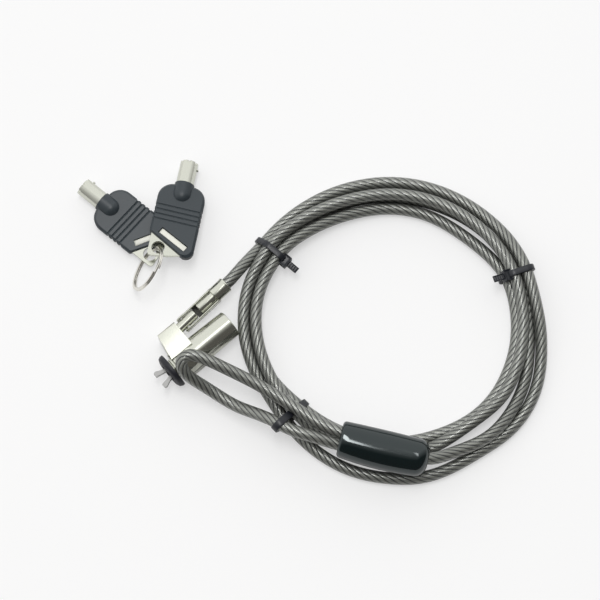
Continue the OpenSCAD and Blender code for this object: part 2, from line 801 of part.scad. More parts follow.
// Flat steel plate inside the bow, with the ring's hole in its bare corner
module key_plate() {
    corner_r = 1.6;
    translate([0, 0, -plate_t / 2]) linear_extrude(plate_t) difference() {
        hull() {
            translate([-14, 6]) circle(r = 1, $fn = 32);
            translate([-14, -6]) circle(r = 1, $fn = 32);
            translate([-26, -7]) circle(r = 1, $fn = 32);
            translate([plate_corner[0] + corner_r, plate_corner[1] - corner_r])
                circle(r = corner_r, $fn = 32);
            translate([-18, plate_corner[1] - corner_r]) circle(r = corner_r, $fn = 32);
            translate([plate_corner[0] + corner_r + 0.8, 1]) circle(r = corner_r, $fn = 32);
        }
        translate(hole_place) circle(d = hole_d);
    }
}

module key_blade() {
    tip_x = bow_front + key_tube_len;
    difference() {
        bar(key_od / 2, shank_root_x, tip_x);
        bar(key_id / 2, shank_root_x + 1, tip_x + 1);
        // Bitting: one cut in the tube's rim for each pin
        for (i = [0 : pin_count - 1])
            rotate([360 * i / pin_count, 0, 0]) translate([0, 0, key_od / 2])
                bar(bit_r, tip_x - bit_depths[i], tip_x + 1);
    }
    // Lug that turns past the notch in the lock's face
    translate([tip_x - lug_back, -key_od / 2 + 0.2, 0]) rotate([90, 0, 0])
        cylinder(d = lug_d, h = lug_d / 2 + 0.2);
    key_tang();
    key_plate();
}

module key_1_frame() { translate(key_1_place) rotate(key_1_turn) children(); }
module key_2_frame() { translate(key_2_place) rotate(key_2_turn) children(); }

module key_1_bow() { color(black) key_1_frame() key_bow(); }
module key_1_blade() { color(nickel) key_1_frame() key_blade(); }
module key_2_bow() { color(black) key_2_frame() key_bow(); }
module key_2_blade() { color(nickel) key_2_frame() key_blade(); }

cable_coil();
cable_lead();
cable_feed();
cable_loop();
lead_ferrule();
loop_crimp();
loop_sleeve();
cable_tie_1();
cable_tie_2();
cable_tie_3();
yoke();
hinge_pin();
lock_body();
face_ring();
pin_carrier();
carrier_screw();
driver_pins();
pin_springs();
nose_bush();
rubber_washer();
claw_pins();
lock_core();
key_pins();
drive_spindle();
claw_left();
claw_right();
key_ring();
key_1_bow();
key_1_blade();
key_2_bow();
key_2_blade();
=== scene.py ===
"""Laptop cable lock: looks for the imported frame.  Lengths in the tables are in millimetres."""
import json
import math

import bmesh
import bpy
import numpy as np
from mathutils import Matrix, Vector

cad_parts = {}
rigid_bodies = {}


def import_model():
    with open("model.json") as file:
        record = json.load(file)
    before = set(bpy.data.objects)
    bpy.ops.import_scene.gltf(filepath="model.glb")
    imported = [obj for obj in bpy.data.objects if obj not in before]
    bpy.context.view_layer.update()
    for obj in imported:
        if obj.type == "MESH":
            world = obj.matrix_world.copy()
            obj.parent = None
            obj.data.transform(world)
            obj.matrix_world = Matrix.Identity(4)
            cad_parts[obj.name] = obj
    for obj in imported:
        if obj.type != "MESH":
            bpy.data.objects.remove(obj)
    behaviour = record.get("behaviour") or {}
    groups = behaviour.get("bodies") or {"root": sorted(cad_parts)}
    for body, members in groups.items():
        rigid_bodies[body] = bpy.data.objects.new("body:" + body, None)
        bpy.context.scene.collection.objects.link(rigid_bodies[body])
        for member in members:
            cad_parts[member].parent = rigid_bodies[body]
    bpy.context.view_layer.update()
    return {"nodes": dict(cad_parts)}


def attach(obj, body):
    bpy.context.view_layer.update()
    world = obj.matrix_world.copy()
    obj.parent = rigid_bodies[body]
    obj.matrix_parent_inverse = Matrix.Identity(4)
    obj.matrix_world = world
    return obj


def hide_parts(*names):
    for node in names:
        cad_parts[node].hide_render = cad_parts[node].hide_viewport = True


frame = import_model()
MM = 0.001
scene = bpy.context.scene
nodes = frame["nodes"]

# ---------------------------------------------------------------- camera
AIM = Vector((0.060, -0.010, 0.0))
DISTANCE = 0.9
ELEVATION = math.radians(78)
VIEW_W = 0.252                          # width of the view at the aim, in metres
SENSOR_W = 36

cam_data = bpy.data.cameras.new("camera")
cam_data.sensor_width = SENSOR_W
cam_data.lens = SENSOR_W * DISTANCE / VIEW_W
cam_data.clip_start = 0.01
cam = bpy.data.objects.new("camera", cam_data)
scene.collection.objects.link(cam)
cam.location = AIM + DISTANCE * Vector((0, -math.cos(ELEVATION), math.sin(ELEVATION)))
cam.rotation_euler = (AIM - cam.location).to_track_quat("-Z", "Y").to_euler()
scene.camera = cam


# ---------------------------------------------------------------- mesh helpers
def add_mesh(name, verts, faces, uvs=None):
    """A new object from points in millimetres, at the origin."""
    mesh = bpy.data.meshes.new(name)
    mesh.from_pydata([tuple(c * MM for c in v) for v in verts], [], faces)
    mesh.update()
    if uvs is not None:
        layer = mesh.uv_layers.new(name="UVMap")
        layer.data.foreach_set("uv", np.asarray(uvs, np.float32).ravel())
    mesh.polygons.foreach_set("use_smooth", [True] * len(mesh.polygons))
    obj = bpy.data.objects.new(name, mesh)
    scene.collection.objects.link(obj)
    return obj


def place(body, obj, material, slot, *replaced):
    """Gives a piece its material and hangs it on its body; slot is not used."""
    obj.data.materials.clear()
    obj.data.materials.append(material)
    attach(obj, body)
    if replaced:
        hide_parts(*replaced)


def from_bmesh(name, bm, placing=None, sharp=32):
    """A new object from a bmesh in millimetres, with its place put into its mesh."""
    bmesh.ops.remove_doubles(bm, verts=bm.verts, dist=0.001)
    bmesh.ops.recalc_face_normals(bm, faces=bm.faces)
    bmesh.ops.transform(bm, matrix=Matrix.Scale(MM, 4) @ (placing or Matrix()), verts=bm.verts)
    mesh = bpy.data.meshes.new(name)
    bm.to_mesh(mesh)
    bm.free()
    mesh.polygons.foreach_set("use_smooth", [True] * len(mesh.polygons))
    mesh.set_sharp_from_angle(angle=math.radians(sharp))
    obj = bpy.data.objects.new(name, mesh)
    scene.collection.objects.link(obj)
    return obj


def join(bm, part):
    """Adds a finished part to a bmesh."""
    loose = bpy.data.meshes.new("part")
    part.to_mesh(loose)
    part.free()
    bm.from_mesh(loose)
    bpy.data.meshes.remove(loose)


def axes(origin, x, y, z):
    """A placing from an origin and three directions."""
    m = Matrix.Identity(4)
    for k, column in enumerate((x, y, z, origin)):
        for row in range(3):
            m[row][k] = float(column[row])
    return m


def outline_face(bm, points):
    """A flat face in the local XZ plane."""
    return bm.faces.new([bm.verts.new((x, 0, z)) for x, z in points])


def thicken(bm, faces, width):
    """Extrudes flat faces by width along local Y, half to each side."""
    bmesh.ops.translate(bm, verts=bm.verts, vec=(0, -width / 2, 0))
    made = bmesh.ops.extrude_face_region(bm, geom=faces, use_keep_orig=True)
    verts = [g for g in made["geom"] if isinstance(g, bmesh.types.BMVert)]
    bmesh.ops.translate(bm, verts=verts, vec=(0, width, 0))


def soften(bm, offset, segments=2, above=40):
    """Bevels every edge that turns by more than an angle."""
    bmesh.ops.recalc_face_normals(bm, faces=bm.faces)
    edges = [e for e in bm.edges if len(e.link_faces) == 2
             and e.calc_face_angle(0) > math.radians(above)]
    bmesh.ops.bevel(bm, geom=edges, offset=offset, affect="EDGES", segments=segments,
                    profile=0.5, material=-1, clamp_overlap=True)


def box(bm, size, middle=(0, 0, 0)):
    """A box of a size about a middle; gives back its vertices."""
    made = bmesh.ops.create_cube(bm, size=1)
    bmesh.ops.scale(bm, vec=size, verts=made["verts"])
    bmesh.ops.translate(bm, vec=middle, verts=made["verts"])
    return made["verts"]


def top_face(verts):
    """The highest of the faces round some vertices."""
    return max({f for v in verts for f in v.link_faces}, key=lambda f: f.calc_center_median().z)


def spin(v, degrees):
    """A point turned about the vertical axis."""
    a = math.radians(degrees)
    return np.array([v[0] * math.cos(a) - v[1] * math.sin(a),
                     v[0] * math.sin(a) + v[1] * math.cos(a), v[2]])


# ---------------------------------------------------------------- routes
# Places in the shared frame, headings in degrees
LOCK_PLACE = np.array([7.6, -41.1, 7.65])
LOCK_HEADING = 40
POST_BASE = (12.4, 11.8, 0)
POST_TOE = 4.5
SLEEVE_PLACE = np.array([94.3, -74.9, 13])
SLEEVE_ANGLE = -13.5
SLEEVE_LEN = 37
SLEEVE_R = 7.5
CRIMP_HALF = 10.5
COIL_CENTRE = (99, -22.9)
COIL_SHARE = (0.984, 0.991)             # the coil's width and depth, as shares of its radii
CABLE_R = 2.5
FERRULE_END = 26.6
LEG_Y, LEG_Z = 2.4, 0.75                # one leg of the loop, from the sleeve's axis; the other is opposite


def from_lock(p):
    """A point of the lock head, in the shared frame."""
    return LOCK_PLACE + spin(p, LOCK_HEADING)


def from_post(p):
    """A point along the yoke and ferrule, in the shared frame."""
    return from_lock(np.array(POST_BASE) + spin(p, POST_TOE))


def from_sleeve(p):
    """A point of the sleeve, in the shared frame."""
    return SLEEVE_PLACE + spin(p, SLEEVE_ANGLE)


def from_coil(angle, r, z):
    """A point of the coil, in the shared frame."""
    a = math.radians(angle)
    return np.array([COIL_CENTRE[0] + COIL_SHARE[0] * r * math.cos(a),
                     COIL_CENTRE[1] + COIL_SHARE[1] * r * math.sin(a), z])


# Each pass round the coil, clockwise from the first tie: angle, radius, height
PASS_1 = [
    (147, 66.0, 3.7), (130, 65.2, 3.2), (110, 64.4, 2.9), (90, 64.0, 2.8), (72, 63.5, 2.8),
    (57, 63.1, 3.0), (40, 62.5, 4.6), (24, 61.9, 8.0), (12, 61.0, 7.4), (0, 62.4, 5.4),
    (-9, 63.4, 3.3), (-20, 65.3, 2.7), (-34, 65.9, 2.6), (-46, 64.5, 2.6), (-56, 63.0, 2.6),
    (-68, 63.7, 2.6), (-80, 64.5, 2.6), (-94, 63.3, 2.6), (-105, 63.2, 2.6), (-116, 62.3, 2.6),
    (-127, 61.3, 2.7), (-139, 60.4, 3.6), (-150, 60.0, 4.0), (-163, 61.8, 6.0),
    (-175, 63.3, 6.8), (-188, 64.0, 6.9), (-201, 63.9, 7.2)]
PASS_2 = [
    (147, 63.4, 8.0), (130, 60.6, 7.8), (110, 58.3, 7.7), (90, 57.6, 7.7), (72, 57.2, 7.7),
    (57, 56.9, 7.7), (40, 56.6, 7.9), (24, 56.5, 8.1), (12, 55.6, 7.5), (0, 55.1, 7.4),
    (-9, 54.8, 7.3), (-20, 54.6, 7.2), (-31, 55.0, 6.8), (-41, 53.4, 7.2), (-51, 51.8, 7.4),
    (-60, 52.0, 6.8), (-68, 52.7, 5.6), (-76, 53.6, 3.6), (-84, 53.9, 2.6), (-95, 53.8, 2.6),
    (-108, 53.8, 2.7), (-121, 54.7, 4.6), (-134, 55.4, 6.9), (-148, 55.6, 7.4),
    (-162, 57.0, 7.4), (-175, 58.3, 7.3), (-188, 59.4, 7.3), (-201, 59.6, 7.6)]
PASS_3 = [
    (147, 58.4, 8.0), (130, 55.1, 6.0), (110, 53.0, 3.7), (90, 52.6, 2.8), (72, 52.0, 2.7),
    (57, 50.7, 2.7), (40, 51.6, 2.8), (24, 53.8, 3.6), (12, 53.1, 3.0), (0, 52.7, 2.7),
    (-9, 52.5, 2.7), (-20, 51.9, 2.7), (-31, 51.9, 2.7), (-41, 51.4, 2.6), (-51, 50.5, 2.6),
    (-64, 49.3, 2.6), (-79, 48.8, 2.6), (-95, 48.5, 2.6), (-108, 49.0, 2.6), (-121, 49.9, 2.6),
    (-134, 50.9, 3.0), (-148, 53.6, 2.9), (-162, 57.6, 2.7), (-175, 59.8, 2.7),
    (-188, 60.7, 2.7), (-201, 61.0, 3.0)]
PASS_4 = [
    (147, 60.9, 3.6), (130, 60.0, 2.9), (110, 58.5, 2.7), (90, 57.7, 2.7), (72, 57.1, 2.7),
    (57, 57.4, 2.7), (40, 58.3, 2.9), (24, 58.9, 3.6), (12, 58.2, 3.0), (0, 57.9, 2.8),
    (-9, 58.0, 2.8), (-20, 60.0, 3.0), (-30, 60.5, 3.4), (-40, 61.3, 5.0), (-50, 61.6, 6.8)]
FEED = [(123, -75.4, 8), (118.2, -78, 10.6), (113.8, -79.1, 12.6)]
LEAD = [(34.8, 1.6, 7.2), (39, 5.6, 6.6), (43.3, 8.9, 6)]
LOOP = [
    (69, -65, 13.9), (58, -58, 13.9), (49.8, -52.7, 14), (41.6, -47.9, 14.6),
    (35.4, -44.9, 15.6), (27.3, -41.2, 17.4), (19.1, -37.6, 18.6), (15.4, -36.4, 18.9),
    (12, -36.9, 19), (10.6, -39.8, 18.6), (12.1, -43.4, 16.9), (16.2, -46.3, 13.8),
    (22, -49.4, 10.6), (28, -53.2, 9.2), (34.1, -56.8, 9.6), (41.5, -59.8, 11.5),
    (48.5, -63, 13.8), (55.5, -66.9, 14.6), (64, -69.6, 14.5)]


def cable_points():
    """The cable's own points, from the ferrule round the coil to the end of its loop."""
    pts = [from_post((FERRULE_END, 0, 0)), from_post((FERRULE_END + 4, 0, 0))]
    pts += [np.array(p, float) for p in LEAD]
    for one in (PASS_1, PASS_2, PASS_3, PASS_4):
        pts += [from_coil(*row) for row in one]
    half = SLEEVE_LEN / 2
    pts += [np.array(p, float) for p in FEED]
    pts += [from_sleeve(p) for p in (
        (half - 1, 0, 0), (CRIMP_HALF, 0, 0), (4, 0.5, 0.15),
        (-4, LEG_Y - 0.5, LEG_Z - 0.15), (-CRIMP_HALF, LEG_Y, LEG_Z), (-half, LEG_Y, LEG_Z))]
    pts += [np.array(p, float) for p in LOOP]
    pts += [from_sleeve((-half, -LEG_Y, -LEG_Z)), from_sleeve((-CRIMP_HALF, -LEG_Y, -LEG_Z))]
    return np.array(pts)


FINE = 24                               # fine points from one of the route's points to the next


def smooth_line(pts, step):
    """Points every step along a smooth curve through pts."""
    d = np.linalg.norm(np.diff(pts, axis=0), axis=1)
    tan = np.zeros_like(pts)
    slopes = np.diff(pts, axis=0) / d[:, None]
    tan[1:-1] = (slopes[:-1] * d[1:, None] + slopes[1:] * d[:-1, None]) / (d[:-1] + d[1:])[:, None]
    tan[0], tan[-1] = slopes[0], slopes[-1]
    fine = []
    for i in range(len(d)):
        t = np.linspace(0, 1, FINE + 1)[:-1, None]
        a, b = pts[i], pts[i + 1]
        ma, mb = tan[i] * d[i], tan[i + 1] * d[i]
        fine.append((2 * t**3 - 3 * t**2 + 1) * a + (t**3 - 2 * t**2 + t) * ma
                    + (-2 * t**3 + 3 * t**2) * b + (t**3 - t**2) * mb)
    fine = np.vstack(fine + [pts[-1:]])
    return resample(fine, step)


def resample(line, step):
    """The same line, with its points evenly spaced."""
    d = np.linalg.norm(np.diff(line, axis=0), axis=1)
    s = np.concatenate([[0], np.cumsum(d)])
    n = max(2, int(round(s[-1] / step)) + 1)
    at = np.linspace(0, s[-1], n)
    return np.stack([np.interp(at, s, line[:, k]) for k in range(3)], axis=1)


STEP = 1.25                             # spacing of the cable's points
CABLE_SIDES = 20
LIE_GAP = 2 * CABLE_R + 0.08            # least distance between two turns' middles
FLOOR_GAP = 0.05
SLEEVE_CLEAR = SLEEVE_R + CABLE_R + 0.1
SLEEVE_ROOM = 1                         # the turns keep clear of the sleeve this far past its ends
ENTRY_ROOM, ENTRY_R = 2.5, 5            # a point this near the sleeve's end and axis is going in
ALONG_CABLE = 14                        # points nearer than this along the cable don't push apart
LEAST_GAP = 0.3                         # two points never count as nearer than this
HELD_START, HELD_ENDS = 6, 4            # points that stay at the ferrule, and in the last rounds
ROUNDS, LAST_ROUNDS = 60, 14
PUSH, DUCK, EASE, LAST_EASE = 0.7, 0.5, 0.35, 0.4   # shares of a correction made in one round


def about_sleeve(line):
    """Each point's place along the sleeve's axis, and its distance from that axis."""
    rel = line - SLEEVE_PLACE
    aside = rel @ spin((0, 1, 0), SLEEVE_ANGLE)
    return rel @ spin((1, 0, 0), SLEEVE_ANGLE), np.sqrt(aside ** 2 + rel[:, 2] ** 2)


def settle(line):
    """Pushes the turns apart where they would run into each other, the floor or the sleeve."""
    line = line.copy()
    order = np.arange(len(line))
    along, off = about_sleeve(line)
    entering = (np.abs(along) < SLEEVE_LEN / 2 + ENTRY_ROOM) & (off < ENTRY_R)
    held = (order < HELD_START) | (order >= np.argmax(entering))
    for _ in range(ROUNDS):
        push = np.zeros_like(line)
        for i in order[~held]:
            gap = line[i] - line
            dist = np.linalg.norm(gap, axis=1)
            hit = (np.abs(order - i) > int(ALONG_CABLE / STEP)) & (dist < LIE_GAP)
            if hit.any():
                share = np.where(held[hit], 1.0, 0.5)
                gain = (LIE_GAP - dist[hit]) * share / np.maximum(dist[hit], LEAST_GAP)
                k = np.argmax(gain)
                push[i] = gap[hit][k] * gain[k]
        line += PUSH * push
        along, off = about_sleeve(line)
        deep = ~held & (np.abs(along) < SLEEVE_LEN / 2 + SLEEVE_ROOM) & (off < SLEEVE_CLEAR)
        line[deep, 2] -= DUCK * (SLEEVE_CLEAR - off[deep])
        middle = 0.5 * (line[:-2] + line[2:])
        free = ~held[1:-1]
        line[1:-1][free] += EASE * (middle - line[1:-1])[free]
        line[~held, 2] = np.maximum(line[~held, 2], CABLE_R + FLOOR_GAP)
    for _ in range(LAST_ROUNDS):
        middle = 0.5 * (line[HELD_ENDS - 1:-HELD_ENDS - 1] + line[HELD_ENDS + 1:-HELD_ENDS + 1])
        line[HELD_ENDS:-HELD_ENDS] += LAST_EASE * (middle - line[HELD_ENDS:-HELD_ENDS])
    return line


def frames(line):
    """Tangent, side and up at each point, without twist along the line."""
    tan = np.gradient(line, axis=0)
    tan /= np.linalg.norm(tan, axis=1)[:, None]
    side = np.zeros_like(line)
    s = np.cross(tan[0], (0, 0, 1))
    side[0] = s / np.linalg.norm(s)
    for i in range(1, len(line)):
        s = side[i - 1] - tan[i] * (side[i - 1] @ tan[i])
        side[i] = s / np.linalg.norm(s)
    return tan, side, np.cross(tan, side)


def tube(name, line, r, sides):
    """A tube along the line; its UV runs once round, and along it in metres."""
    tan, side, up = frames(line)
    ang = np.linspace(0, 2 * math.pi, sides, endpoint=False)
    ring = (np.cos(ang)[None, :, None] * side[:, None, :]
            + np.sin(ang)[None, :, None] * up[:, None, :])
    verts = (line[:, None, :] + r * ring).reshape(-1, 3)
    n = len(line)
    faces, uvs = [], []
    s = np.concatenate([[0], np.cumsum(np.linalg.norm(np.diff(line, axis=0), axis=1))]) * MM
    for i in range(n - 1):
        for k in range(sides):
            j = (k + 1) % sides
            faces.append((i * sides + k, i * sides + j, (i + 1) * sides + j, (i + 1) * sides + k))
            u0, u1 = k / sides, (k + 1) / sides
            uvs += [(u0, s[i]), (u1, s[i]), (u1, s[i + 1]), (u0, s[i + 1])]
    faces.append(tuple(range(sides - 1, -1, -1)))
    uvs += [(0, 0)] * sides
    faces.append(tuple((n - 1) * sides + k for k in range(sides)))
    uvs += [(0, s[-1])] * sides
    return add_mesh(name, verts, faces, uvs=uvs)


# ---------------------------------------------------------------- materials
def new_material(name):
    """A new material, with its nodes, its links and its main shader."""
    m = bpy.data.materials.new(name)
    m.use_nodes = True
    return m, m.node_tree.nodes, m.node_tree.links, m.node_tree.nodes["Principled BSDF"]


def math_node(nt, links, op, a, b=None, c=None):
    """The output of a new Math node; each input is a number or a socket."""
    node = nt.new("ShaderNodeMath")
    node.operation = op
    for i, value in enumerate((a, b, c)):
        if value is None:
            continue
        if isinstance(value, (int, float)):
            node.inputs[i].default_value = value
        else:
            links.new(value, node.inputs[i])
    return node.outputs[0]


def raised(nt, links, height, distance, strength=1.0, under=None):
    """The normal of a surface raised by a height, on top of another normal."""
    node = nt.new("ShaderNodeBump")
    node.inputs["Strength"].default_value = strength
    node.inputs["Distance"].default_value = distance
    links.new(height, node.inputs["Height"])
    if under:
        links.new(under, node.inputs["Normal"])
    return node.outputs["Normal"]


def ramp_node(nt, start, end):
    """A colour ramp between two stops, each a position and a colour."""
    node = nt.new("ShaderNodeValToRGB")
    for stop, (at, color) in zip(node.color_ramp.elements, (start, end)):
        stop.position = at
        stop.color = (*color, 1)
    return node


GRAIN = 0.0001                          # depth of the fine grain, in metres
BEVEL_SAMPLES = 6


def plain(name, color, rough, metallic=0.0, bump=0.0, scale=900, spec=0.5, rough_vary=0.0,
          bevel=0.0):
    """A material with optional fine grain and rounded-looking edges."""
    m, nt, links, bsdf = new_material(name)
    bsdf.inputs["Base Color"].default_value = (*color, 1)
    bsdf.inputs["Roughness"].default_value = rough
    bsdf.inputs["Metallic"].default_value = metallic
    bsdf.inputs["Specular IOR Level"].default_value = spec
    normal = None
    if bevel:
        edge = nt.new("ShaderNodeBevel")
        edge.samples = BEVEL_SAMPLES
        edge.inputs["Radius"].default_value = bevel * MM
        normal = edge.outputs["Normal"]
    if bump or rough_vary:
        coord = nt.new("ShaderNodeTexCoord")
        noise = nt.new("ShaderNodeTexNoise")
        noise.inputs["Scale"].default_value = scale
        noise.inputs["Detail"].default_value = 3.0
        links.new(coord.outputs["Object"], noise.inputs["Vector"])
        if bump:
            normal = raised(nt, links, noise.outputs["Fac"], GRAIN, bump, normal)
        if rough_vary:
            varied = math_node(nt, links, "MULTIPLY_ADD", noise.outputs["Fac"], rough_vary,
                               rough - rough_vary / 2)
            links.new(varied, bsdf.inputs["Roughness"])
    if normal:
        links.new(normal, bsdf.inputs["Normal"])
    return m


LAY = 0.028                             # one strand's turn round the cable, in metres
STRANDS = 8
STRAND_PHASE = 0.25
WIRES_ROUND, WIRES_ALONG = 40.0, 26.0   # wires round the cable, and along one lay
WIRE_SHARE = 0.16                       # a wire's height, as a share of a strand's
WIRE_PAINTED_SHADE = 0.55                       # how far painted shade in the gaps between wires darkens a strand
STRAND_DEPTH, JACKET_DEPTH = 0.00036, 0.00012       # in metres


def cable_material():
    """Twisted steel strands under a clear, smoky jacket that follows them a little, with painted shade in
    the grooves between strands and between wires.
    """
    m, nt, links, bsdf = new_material("cable")
    uv = nt.new("ShaderNodeUVMap")
    uv.uv_map = "UVMap"
    sep = nt.new("ShaderNodeSeparateXYZ")
    links.new(uv.outputs["UV"], sep.inputs["Vector"])
    u, v = sep.outputs["X"], sep.outputs["Y"]

    def calc(op, *values):
        return math_node(nt, links, op, *values)

    def rounded(phase):
        """1 at the middle of each strand or wire, falling round to 0 between two."""
        away = calc("ABSOLUTE", calc("MULTIPLY_ADD", calc("FRACT", phase), 2.0, -1.0))
        return calc("SQRT", calc("SUBTRACT", 1.0, calc("MULTIPLY", away, away)))

    lobe = rounded(calc("MULTIPLY_ADD", u, STRANDS,
                        calc("MULTIPLY_ADD", v, -STRANDS / LAY, STRAND_PHASE)))
    # the wires lie a little more along the cable than their strand
    wire_lobe = rounded(calc("MULTIPLY_ADD", u, WIRES_ROUND,
                             calc("MULTIPLY_ADD", v, -WIRES_ALONG / LAY, 0.0)))
    # painted shade: the grooves between strands go to a navy-tinted near-black, the strands' middles keep
    # their grey
    ramp = ramp_node(nt, (0.30, (0.018, 0.020, 0.029)), (0.95, (0.30, 0.31, 0.28)))
    links.new(lobe, ramp.inputs["Fac"])
    # painted shade between the wires, multiplied over the strands
    mix = nt.new("ShaderNodeMix")
    mix.data_type = "RGBA"
    mix.blend_type = "MULTIPLY"
    mix.inputs["Factor"].default_value = WIRE_PAINTED_SHADE
    # sockets 6 and 7 are the Mix node's two colours, and 2 its result
    links.new(ramp.outputs["Color"], mix.inputs[6])
    links.new(wire_lobe, mix.inputs[7])
    links.new(mix.outputs[2], bsdf.inputs["Base Color"])
    bsdf.inputs["Metallic"].default_value = 0.75
    bsdf.inputs["Roughness"].default_value = 0.42
    height = calc("MULTIPLY_ADD", wire_lobe, WIRE_SHARE, lobe)
    links.new(raised(nt, links, height, STRAND_DEPTH), bsdf.inputs["Normal"])
    bsdf.inputs["Coat Weight"].default_value = 0.9
    bsdf.inputs["Coat Roughness"].default_value = 0.09
    bsdf.inputs["Coat IOR"].default_value = 1.5
    links.new(raised(nt, links, lobe, JACKET_DEPTH), bsdf.inputs["Coat Normal"])
    return m


M_CABLE = cable_material()
M_NICKEL = plain("nickel", (0.68, 0.69, 0.61), 0.19, 1.0, bump=0.06, scale=1400, bevel=0.12,
                 rough_vary=0.06)
# painted shade: dark steel for the web, standing in for the shade seen through the yoke's gap
M_PAINTED_SHADE = plain("painted shade steel", (0.16, 0.16, 0.15), 0.55, 0.9)
M_STEEL = plain("steel", (0.46, 0.46, 0.45), 0.35, 1.0, bump=0.15, scale=1600, bevel=0.15)
M_BRASS = plain("brass", (0.72, 0.50, 0.20), 0.3, 1.0)
M_ALU = plain("crimp", (0.75, 0.75, 0.76), 0.35, 1.0)
M_SLEEVE = plain("sleeve", (0.001, 0.006, 0.007), 0.08, bump=0.015, scale=260, spec=0.8)
sleeve_shader = M_SLEEVE.node_tree.nodes["Principled BSDF"]
sleeve_shader.inputs["Specular Tint"].default_value = (0.92, 1, 1, 1)
M_TIE = plain("tie", (0.012, 0.014, 0.019), 0.36, bump=0.12, scale=700)
M_RUBBER = plain("rubber", (0.008, 0.009, 0.014), 0.5, bump=0.3, scale=1500)
M_BOW = plain("bow", (0.031, 0.041, 0.048), 0.42, bump=0.35, scale=3200, bevel=0.3)
M_RING = plain("ring", (0.86, 0.84, 0.78), 0.2, 1.0)
M_LABEL = plain("label", (0.90, 0.90, 0.82), 0.42, 0.85, bump=0.4, scale=900)

# the CAD pieces that show as they are
for names, mat in (
        (("lock_core",), M_NICKEL),
        (("hinge_pin", "carrier_screw", "driver_pins", "pin_springs", "claw_pins",
          "drive_spindle", "claw_left", "claw_right"), M_STEEL),
        (("pin_carrier", "key_pins"), M_BRASS),
        (("loop_crimp",), M_ALU),
        (("key_1_bow", "key_2_bow"), M_BOW)):
    for name in names:
        nodes[name].data.materials.clear()
        nodes[name].data.materials.append(mat)


SAME_PLACE = 0.004                      # points of a CAD piece nearer than this are one
FLAT_ANGLE, SHARP_ANGLE = 0.6, 34


def polished(body, name, material, slot):
    """A joined, smooth-shaded copy of a CAD piece, in its place."""
    bm = bmesh.new()
    bm.from_mesh(nodes[name].data)
    bmesh.ops.transform(bm, matrix=nodes[name].matrix_world, verts=bm.verts)
    bmesh.ops.scale(bm, vec=(1 / MM, 1 / MM, 1 / MM), verts=bm.verts)
    bmesh.ops.remove_doubles(bm, verts=bm.verts, dist=SAME_PLACE)
    bmesh.ops.dissolve_limit(bm, angle_limit=math.radians(FLAT_ANGLE), verts=bm.verts,
                             edges=bm.edges)
    piece = from_bmesh(name + "_smooth", bm, sharp=SHARP_ANGLE)
    flats = piece.modifiers.new("flats stay flat", "WEIGHTED_NORMAL")
    flats.keep_sharp = True
    place(body, piece, material, slot, name)


for name in ("lock_body", "face_ring", "nose_bush"):
    polished("lock_head", name, M_NICKEL, "nickel")
polished("lock_head", "rubber_washer", M_RUBBER, "rubber")
for body in ("key_1", "key_2"):
    polished(body, body + "_blade", M_NICKEL, "nickel")

# ---------------------------------------------------------------- cable
cable_line = resample(settle(smooth_line(cable_points(), STEP)), STEP)
cable = tube("cable", cable_line, CABLE_R, CABLE_SIDES)
place("cable", cable, M_CABLE, "cable", "cable_coil", "cable_lead", "cable_feed", "cable_loop")

# ---------------------------------------------------------------- cable ties
# Where each tie's plane crosses the bundle: angle, distance, sideways place, heading
TIE_PLANES = ((147, 61.0, 0.2, 139.7), (24, 55.0, 0.0, 19.6), (221, 58.0, 0.2, 225.0))
TIE_W, TIE_T, WIDE_TIE_W = 2.6, 1.05, 3.0
BUNDLE_HALF = 14                        # a tie's bundle reaches this far from its middle
STRAP_GAP, PRESS_GAP = 0.06, 0.15       # from the cable to a strap round it, and to one beside it
STRAP_STEP, STRAP_ROUND = 0.35, 0.22    # spacing of a strap's points, rounding of its edges
CABLE_POINTS = 48                       # points on each circle that a strap goes round
LOW_OUTSIDE, LOW_INSIDE = 0.02, 0.5     # the lowest that a strap's two faces go
PRESS_ROUNDS = 6
POCKET_RIM, POCKET_DEPTH, HEAD_ROUND = 1.0, 0.7, 0.4
TAIL_RIM, TAIL_DEPTH, TAIL_ROUND, TAIL_HIDDEN = 0.5, 0.35, 0.12, 0.6
TOOTH_PITCH, TOOTH_L, TOOTH_H = 0.9, 0.42, 0.32
TOOTH_Z, TOOTH_PIVOT, TOOTH_LEAN = 0.22, 0.2, 0.35
TIE_SHARP = 30


def tie_frame(angle, r, aside, heading):
    """A tie's middle, and its directions across the bundle and along it."""
    middle = np.array([*COIL_CENTRE, 0]) + r * spin((1, 0, 0), angle) + aside * spin((0, 1, 0), angle)
    return middle, spin((1, 0, 0), heading), spin((0, 1, 0), heading)


def strands_at(middle, out, along):
    """Where the cable's turns cross a tie's plane: distance outwards, height."""
    rel = cable_line - middle
    across = rel @ along
    found = []
    for i in np.nonzero(across[:-1] * across[1:] < 0)[0]:
        share = across[i] / (across[i] - across[i + 1])
        p = rel[i] + share * (rel[i + 1] - rel[i])
        if abs(p @ out) < BUNDLE_HALF:
            found.append((float(p @ out), float(p[2])))
    return found


def wrap(circles, r):
    """The taut line round circles of radius r, anticlockwise."""
    ring = np.linspace(0, 2 * math.pi, CABLE_POINTS, endpoint=False)
    pts = sorted({(round(x + r * math.cos(a), 4), round(z + r * math.sin(a), 4))
                  for x, z in circles for a in ring})
    hull = []
    for run in (pts, pts[::-1]):
        part = []
        for p in run:
            while len(part) > 1 and ((part[-1][0] - part[-2][0]) * (p[1] - part[-2][1])
                                     - (part[-1][1] - part[-2][1]) * (p[0] - part[-2][0])) <= 0:
                part.pop()
            part.append(p)
        hull += part[:-1]
    line = np.array([(x, 0, z) for x, z in hull + hull[:1]])
    return resample(line, STRAP_STEP)[:-1][:, (0, 2)]


